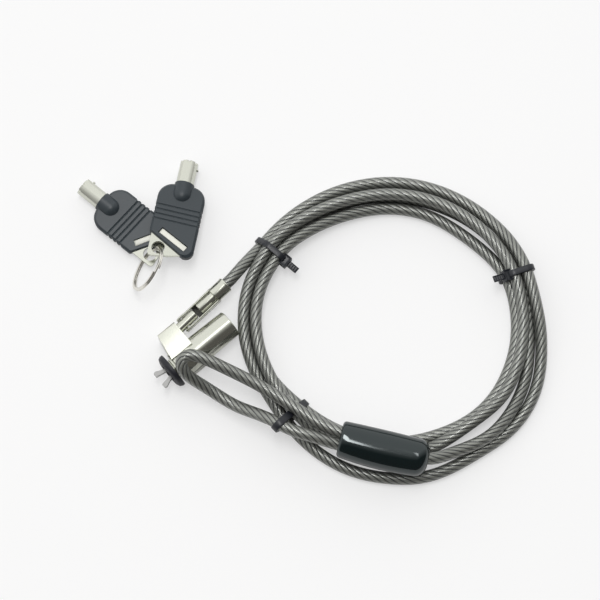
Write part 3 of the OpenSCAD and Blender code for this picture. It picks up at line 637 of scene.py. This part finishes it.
def dent(line, leg):
    """Moves a strap's line off a turn that lies against it, and eases the line."""
    clear = CABLE_R + PRESS_GAP + TIE_T / 2
    gap = line - leg
    far = np.linalg.norm(gap, axis=1)
    near = far < clear
    line[near] = leg + gap[near] / far[near, None] * clear
    for _ in range(PRESS_ROUNDS):
        line = 0.5 * line + 0.25 * (np.roll(line, 1, axis=0) + np.roll(line, -1, axis=0))
    return line


def belt(bm, middle_line, width):
    """A closed strap along a line in the local XZ plane."""
    step = np.roll(middle_line, -1, axis=0) - np.roll(middle_line, 1, axis=0)
    out = np.stack([step[:, 1], -step[:, 0]], axis=1)
    out /= np.linalg.norm(out, axis=1)[:, None]
    loops = []
    for share, lowest in ((0.5, LOW_OUTSIDE), (-0.5, LOW_INSIDE)):
        pts = middle_line + share * TIE_T * out
        pts[:, 1] = np.maximum(pts[:, 1], lowest)
        verts = [bm.verts.new((x, 0, z)) for x, z in pts]
        loops += [bm.edges.new((verts[k - 1], verts[k])) for k in range(len(verts))]
    made = bmesh.ops.bridge_loops(bm, edges=loops)
    thicken(bm, made["faces"], width)
    soften(bm, STRAP_ROUND)


def tie_head(bm, size):
    """The tie's head: a rounded box with the pawl's pocket in its face."""
    face = top_face(box(bm, size))
    bmesh.ops.inset_region(bm, faces=[face], thickness=POCKET_RIM, depth=0)
    bmesh.ops.translate(bm, verts=face.verts, vec=(0, 0, -POCKET_DEPTH))
    soften(bm, HEAD_ROUND, 3)


def tail(bm, start, end):
    """The strap's cut end: a channel with fine teeth between two rims."""
    run = end - start
    top = top_face(box(bm, (run, TIE_W, TIE_T), ((start + end) / 2, 0, 0)))
    bmesh.ops.inset_region(bm, faces=[top], thickness=TAIL_RIM, depth=0)
    bmesh.ops.translate(bm, verts=top.verts, vec=(0, 0, -TAIL_DEPTH))
    soften(bm, TAIL_ROUND)
    count = int(run / TOOTH_PITCH)
    for k in range(count):
        x = start + (k + 0.5) * run / count
        tooth = box(bm, (TOOTH_L, TIE_W - 2 * TAIL_RIM, TOOTH_H), (x, 0, TOOTH_Z))
        bmesh.ops.rotate(bm, cent=(x, 0, TOOTH_PIVOT), matrix=Matrix.Rotation(TOOTH_LEAN, 3, "Y"),
                         verts=tooth)


def make_tie(number, plane, pick, width, head=None, press=None):
    """Puts a strap round its strands; head is (x, z, size, turn, tail's length)."""
    middle, out, along = tie_frame(*plane)
    crossings = strands_at(middle, out, along)
    line = wrap([c for c in crossings if pick(c)], CABLE_R + STRAP_GAP + TIE_T / 2)
    if press is not None:
        left = [c for c in crossings if not pick(c)]
        line = dent(line, min(left, key=lambda c: abs(c[0] - press)))
    bm = bmesh.new()
    belt(bm, line, width)
    tie_m = axes(middle, out, along, (0, 0, 1))
    strap = from_bmesh("strap_%d" % number, bm, tie_m, TIE_SHARP)
    place("cable", strap, M_TIE, "tie", "cable_tie_%d" % number)
    if head:
        x, z, size, turn, length = head
        bm = bmesh.new()
        tie_head(bm, size)
        tail(bm, size[0] / 2 - TAIL_HIDDEN, size[0] / 2 + length)
        placing = tie_m @ Matrix.Translation((x, 0, z)) @ Matrix.Rotation(turn, 4, "Y")
        placing = placing @ Matrix.Rotation(math.pi, 4, "Z")
        place("cable", from_bmesh("tie_head_%d" % number, bm, placing, TIE_SHARP), M_TIE, "tie")


make_tie(1, TIE_PLANES[0], lambda c: True, TIE_W, (-7.9, 7.7, (3.8, 5.0, 4.2), 0.0, 4.7))
make_tie(2, TIE_PLANES[1], lambda c: True, TIE_W, (-3.2, 9.2, (3.7, 4.8, 4.0), 0.35, 4.6))
# the third tie holds one leg of the loop too, and makes room for the other
make_tie(3, TIE_PLANES[2], lambda c: c[1] < 12 or c[0] > 2, WIDE_TIE_W, None, -4.0)


# ---------------------------------------------------------------- sleeve
def spun(bm, profile, steps):
    """Turns a closed profile of (x, r) points all the way round the local X axis."""
    verts = [bm.verts.new((x, 0, r)) for x, r in profile]
    edges = [bm.edges.new(pair) for pair in zip(verts, verts[1:] + verts[:1])]
    bmesh.ops.spin(bm, geom=verts + edges, cent=(0, 0, 0), axis=(1, 0, 0),
                   angle=2 * math.pi, steps=steps, use_merge=True)


def arc(x, r, radius, start, end, count):
    """Points of a rounded corner about (x, r)."""
    turn = np.radians(np.linspace(start, end, count))
    return [(x + radius * math.cos(a), r + radius * math.sin(a)) for a in turn]


FEED_BORE, LOOP_BORE, CRIMP_BORE = 2.6, 5.0, 5.8    # round the cable, its loop and the crimp
NOSE_ROUND, MOUTH_ROUND, BORE_EDGE = 4.6, 1.3, 0.4
SIDE_FROM, SIDE_TO = 7, 4               # where the side's points stop short of nose and mouth
SKIN_R = 6                              # only what is farther out than this swells
SWELL, SWELL_ASIDE = 0.10, 0.5
SLEEVE_STEPS, SLEEVE_SHARP = 72, 50


def sleeve_profile(half):
    """Half of the sleeve's section, with its bores, about its middle."""
    points = [(CRIMP_HALF, FEED_BORE), (half - BORE_EDGE, FEED_BORE), (half, FEED_BORE + BORE_EDGE)]
    points += arc(half - NOSE_ROUND, SLEEVE_R - NOSE_ROUND, NOSE_ROUND, 0, 90, 12)
    points += [(x, SLEEVE_R) for x in np.linspace(half - SIDE_FROM, -half + SIDE_TO, 12)]
    points += arc(-half + MOUTH_ROUND, SLEEVE_R - MOUTH_ROUND, MOUTH_ROUND, 90, 180, 6)
    return points + [(-half, LOOP_BORE + BORE_EDGE), (-half + 0.3, LOOP_BORE),
                     (-CRIMP_HALF, LOOP_BORE), (-CRIMP_HALF, CRIMP_BORE), (CRIMP_HALF, CRIMP_BORE)]


def make_sleeve():
    """The moulded sleeve, which swells a little to one side."""
    half = SLEEVE_LEN / 2
    bm = bmesh.new()
    spun(bm, sleeve_profile(half), SLEEVE_STEPS)
    for v in bm.verts:
        swell = 1 - (v.co.x / half) ** 2
        if math.hypot(v.co.y, v.co.z) > SKIN_R:
            v.co.y += SWELL * swell * v.co.y - SWELL_ASIDE * swell
    placing = (Matrix.Translation(SLEEVE_PLACE)
               @ Matrix.Rotation(math.radians(SLEEVE_ANGLE), 4, "Z"))
    return from_bmesh("sleeve", bm, placing, SLEEVE_SHARP)


place("cable", make_sleeve(), M_SLEEVE, "sleeve", "loop_sleeve")

# ---------------------------------------------------------------- yoke and ferrule
POST_M = (Matrix.Translation(LOCK_PLACE) @ Matrix.Rotation(math.radians(LOCK_HEADING), 4, "Z")
          @ Matrix.Translation(POST_BASE) @ Matrix.Rotation(math.radians(POST_TOE), 4, "Z"))
PIN_X, ARM_IN, ARM_OUT, EYE_R = 3.8, 2.55, 3.35, 3.3
EYE_TOP, ARM_ROUND = 1.95, 0.34
COLLAR_X, COLLAR_END, COLLAR_R = 20.1, 27.5, 3.35
COLLAR_BORE, COLLAR_MOUTH = 2.1, 2.8
WEB_FROM, WEB_TO, WEB_T, WEB_ROUND = 10.1, COLLAR_X + 0.5, 0.6, 0.12
FERRULE_X, FERRULE_STEP = 11.9, 20.0
FERRULE_R, FERRULE_NECK, FERRULE_BORE = 2.46, 2.0, 0.6
TURNED_STEPS = 48                       # facets round a turned piece


def yoke_arm(side):
    """One arm of the yoke, from above its pin to inside the collar."""
    arm = bmesh.new()
    face = outline_face(arm, [(PIN_X - 1.4, -EYE_R), (COLLAR_X + 1.5, -EYE_R),
                              (COLLAR_X + 1.5, 1.1), (COLLAR_X - 1.5, 0.9), (PIN_X + 3, 0.7)]
                        + [(PIN_X + x, z) for x, z in arc(0, 0, EYE_TOP, 50, 200, 10)])
    thicken(arm, [face], ARM_OUT - ARM_IN)
    bmesh.ops.translate(arm, verts=arm.verts, vec=(0, side * (ARM_IN + ARM_OUT) / 2, 0))
    soften(arm, ARM_ROUND, 3, 30)
    return arm


def yoke_collar():
    """The yoke's collar, with a bead round its mouth."""
    collar = bmesh.new()
    spun(collar, [(COLLAR_X, COLLAR_BORE), (COLLAR_X, COLLAR_R - 0.35),
                  (COLLAR_X + 0.15, COLLAR_R - 0.1), (COLLAR_X + 0.45, COLLAR_R),
                  (COLLAR_END - 1.0, COLLAR_R), (COLLAR_END - 0.85, COLLAR_R + 0.1),
                  (COLLAR_END - 0.6, COLLAR_R + 0.16), (COLLAR_END - 0.3, COLLAR_R + 0.08),
                  (COLLAR_END, COLLAR_R - 0.3), (COLLAR_END, COLLAR_MOUTH + 0.15),
                  (COLLAR_END - 0.25, COLLAR_MOUTH), (COLLAR_END - 1.2, COLLAR_MOUTH),
                  (COLLAR_END - 1.2, COLLAR_BORE)], TURNED_STEPS)
    bmesh.ops.recalc_face_normals(collar, faces=collar.faces)
    return collar


def ferrule():
    """The swivel ferrule, with its edge eased and a neck inside the collar."""
    bm = bmesh.new()
    spun(bm, [(FERRULE_X, FERRULE_BORE), (FERRULE_X, FERRULE_R - 0.36),
              (FERRULE_X + 0.12, FERRULE_R - 0.1), (FERRULE_X + 0.38, FERRULE_R),
              (FERRULE_STEP, FERRULE_R), (FERRULE_STEP, FERRULE_NECK),
              (FERRULE_END, FERRULE_NECK), (FERRULE_END, FERRULE_BORE)], TURNED_STEPS)
    return bm


bm = bmesh.new()
for part in (yoke_arm(-1), yoke_arm(1), yoke_collar()):
    join(bm, part)
place("yoke", from_bmesh("yoke", bm, POST_M), M_NICKEL, "nickel", "yoke")
# the web under the gap between post and ferrule; its dark steel is painted shade
bm = bmesh.new()
box(bm, (WEB_TO - WEB_FROM, 2 * ARM_IN + 0.4, WEB_T),
    ((WEB_TO + WEB_FROM) / 2, 0, -EYE_R + WEB_T / 2))
soften(bm, WEB_ROUND)
place("yoke", from_bmesh("yoke_web", bm, POST_M), M_PAINTED_SHADE, "nickel")
place("cable", from_bmesh("lead_ferrule", ferrule(), POST_M), M_NICKEL, "nickel", "lead_ferrule")

# ---------------------------------------------------------------- key ring and key plates
RING_PLACE, RING_TURN = (-3.5, 1.3, 9.5), (-60.8, 0, 67.2)
WIRE_IN, WIRE_OUT, WIRE_HALF, WIRE_ROUND = 9.1, 10.3, 0.34, 0.16
RING_RISE = 1.40                        # from one end of the wire to the other
RING_START, RING_SWEEP, RING_STEPS, RING_SHARP = -88, 708, 188, 40
KEY_PLACES = (((10.4, 33.5, 6.7), (0, 11, 79.3)), ((-19.8, 28.6, 4.2), (0, 0, 140.9)))
LABEL_PLACE, LABEL_TURN = (-21.4, -0.6, 0), 60.5
LABEL_SIZE, LABEL_Z, LABEL_ROUND = (13.5, 2.4, 0.9), 1.15, 0.15


def turned_place(at, turn):
    """A placing at a point, turned about the X axis, then Y, then Z."""
    m = Matrix.Translation(at)
    for angle, axis in zip(turn[::-1], "ZYX"):
        m = m @ Matrix.Rotation(math.radians(angle), 4, axis)
    return m


def split_ring():
    """Two turns of flat wire, side by side, from one end round to the other."""
    bm = bmesh.new()
    wire = outline_face(bm, [(WIRE_IN, -WIRE_HALF), (WIRE_OUT, -WIRE_HALF),
                             (WIRE_OUT, WIRE_HALF), (WIRE_IN, WIRE_HALF)])
    bmesh.ops.bevel(bm, geom=list(wire.verts), offset=WIRE_ROUND, affect="VERTICES", segments=3,
                    profile=0.5, material=-1)
    bmesh.ops.translate(bm, verts=bm.verts, vec=(0, 0, -RING_RISE / 2))
    bmesh.ops.rotate(bm, cent=(0, 0, 0), verts=bm.verts,
                     matrix=Matrix.Rotation(math.radians(RING_START), 3, "Z"))
    bmesh.ops.spin(bm, geom=bm.faces[:], cent=(0, 0, 0), axis=(0, 0, 1),
                   dvec=(0, 0, RING_RISE / RING_STEPS), angle=math.radians(RING_SWEEP),
                   steps=RING_STEPS, use_merge=False, use_duplicate=False)
    return bm


ring = from_bmesh("key_ring", split_ring(), turned_place(RING_PLACE, RING_TURN), RING_SHARP)
place("key_ring", ring, M_RING, "nickel", "key_ring")

for number, (at, turn) in enumerate(KEY_PLACES, 1):
    bm = bmesh.new()
    for face in (-1, 1):
        box(bm, LABEL_SIZE, (0, 0, face * LABEL_Z))
    soften(bm, LABEL_ROUND)
    placing = turned_place(at, turn) @ turned_place(LABEL_PLACE, (0, 0, LABEL_TURN))
    place("key_%d" % number, from_bmesh("key_%d_label" % number, bm, placing), M_LABEL, "nickel")

# ---------------------------------------------------------------- floor, light
FLOOR_HALF = 3000
FLOOR_TONE, CAMERA_TONE, CAMERA_GLOW = 0.88, 0.52, 0.455    # by bounced light, and to the camera


def floor_material():
    """Pale and matt; the camera sees a darker tone with an even glow."""
    m, nt, links, bsdf = new_material("floor")
    to_camera = nt.new("ShaderNodeLightPath").outputs["Is Camera Ray"]
    tone = math_node(nt, links, "MULTIPLY_ADD", to_camera, CAMERA_TONE - FLOOR_TONE, FLOOR_TONE)
    shade = nt.new("ShaderNodeCombineColor")
    for name in ("Red", "Green", "Blue"):
        links.new(tone, shade.inputs[name])
    links.new(shade.outputs["Color"], bsdf.inputs["Base Color"])
    bsdf.inputs["Roughness"].default_value = 0.7
    bsdf.inputs["Specular IOR Level"].default_value = 0.1
    bsdf.inputs["Emission Color"].default_value = (1, 1, 1, 1)
    links.new(math_node(nt, links, "MULTIPLY", to_camera, CAMERA_GLOW),
              bsdf.inputs["Emission Strength"])
    return m


floor = add_mesh("floor", [(-FLOOR_HALF, -FLOOR_HALF, 0), (FLOOR_HALF, -FLOOR_HALF, 0),
                           (FLOOR_HALF, FLOOR_HALF, 0), (-FLOOR_HALF, FLOOR_HALF, 0)],
                 [(0, 1, 2, 3)])
floor.data.materials.append(floor_material())

METALS = (M_NICKEL, M_RING, M_STEEL, M_LABEL, M_PAINTED_SHADE)
LAMP_HEIGHT = 1.35
# Each lamp hangs level, in metres and watts: name, place, size, power, shape, what it is kept off
LAMPS = (
    ("window", (-0.040, 0.12), (0.240, 0.86), 5.6, "ELLIPSE", METALS),
    ("small_window", (0.275, 0.10), (0.070, 0.42), 0.45, "RECTANGLE", METALS),
    ("soft_window", (0.085, 0.13), (0.170, 0.84), 0.60, "ELLIPSE", (M_SLEEVE,)))


def hang_lamp(name, at, size, power, shape):
    """An area lamp that shines straight down."""
    data = bpy.data.lights.new(name, "AREA")
    data.shape = shape
    data.size, data.size_y = size
    data.energy = power
    lamp = bpy.data.objects.new(name, data)
    scene.collection.objects.link(lamp)
    lamp.location = (*at, LAMP_HEIGHT)
    lamp.rotation_euler = Vector((0, 0, -1)).to_track_quat("-Z", "Y").to_euler()
    return lamp


def flag(lamp, kept_dark):
    """Keeps a lamp off some materials, as a card held in front of it would."""
    shaded = bpy.data.collections.new(lamp.name + " shaded")
    for obj in scene.objects:
        if obj.type == "MESH" and obj.data.materials and obj.data.materials[0] in kept_dark:
            shaded.objects.link(obj)
    for entry in shaded.collection_objects:
        entry.light_linking.link_state = "EXCLUDE"
    lamp.light_linking.receiver_collection = shaded


for *lamp_values, kept_dark in LAMPS:
    flag(hang_lamp(*lamp_values), kept_dark)

DARK_SIDE, BRIGHT_SIDE = (0.28, (0.11, 0.105, 0.10)), (0.63, (1.02, 1.02, 1.02))
LEAN_BACK, LEAN_RIGHT = 0.5, -0.22      # brighter towards the back, darker towards the right


def room_light():
    """A soft surround, which runs from a dark side to a bright one."""
    world = bpy.data.worlds.new("world")
    world.use_nodes = True
    nt, links = world.node_tree.nodes, world.node_tree.links
    sides = nt.new("ShaderNodeSeparateXYZ")
    links.new(nt.new("ShaderNodeTexCoord").outputs["Generated"], sides.inputs["Vector"])
    lean = math_node(nt, links, "MULTIPLY_ADD", sides.outputs["Y"], LEAN_BACK, 0.5)
    lean = math_node(nt, links, "MULTIPLY_ADD", sides.outputs["X"], LEAN_RIGHT, lean)
    ramp = ramp_node(nt, DARK_SIDE, BRIGHT_SIDE)
    links.new(lean, ramp.inputs["Fac"])
    links.new(ramp.outputs["Color"], nt["Background"].inputs["Color"])
    nt["Background"].inputs["Strength"].default_value = 1.0
    return world


scene.world = room_light()
scene.view_settings.view_transform = "Standard"
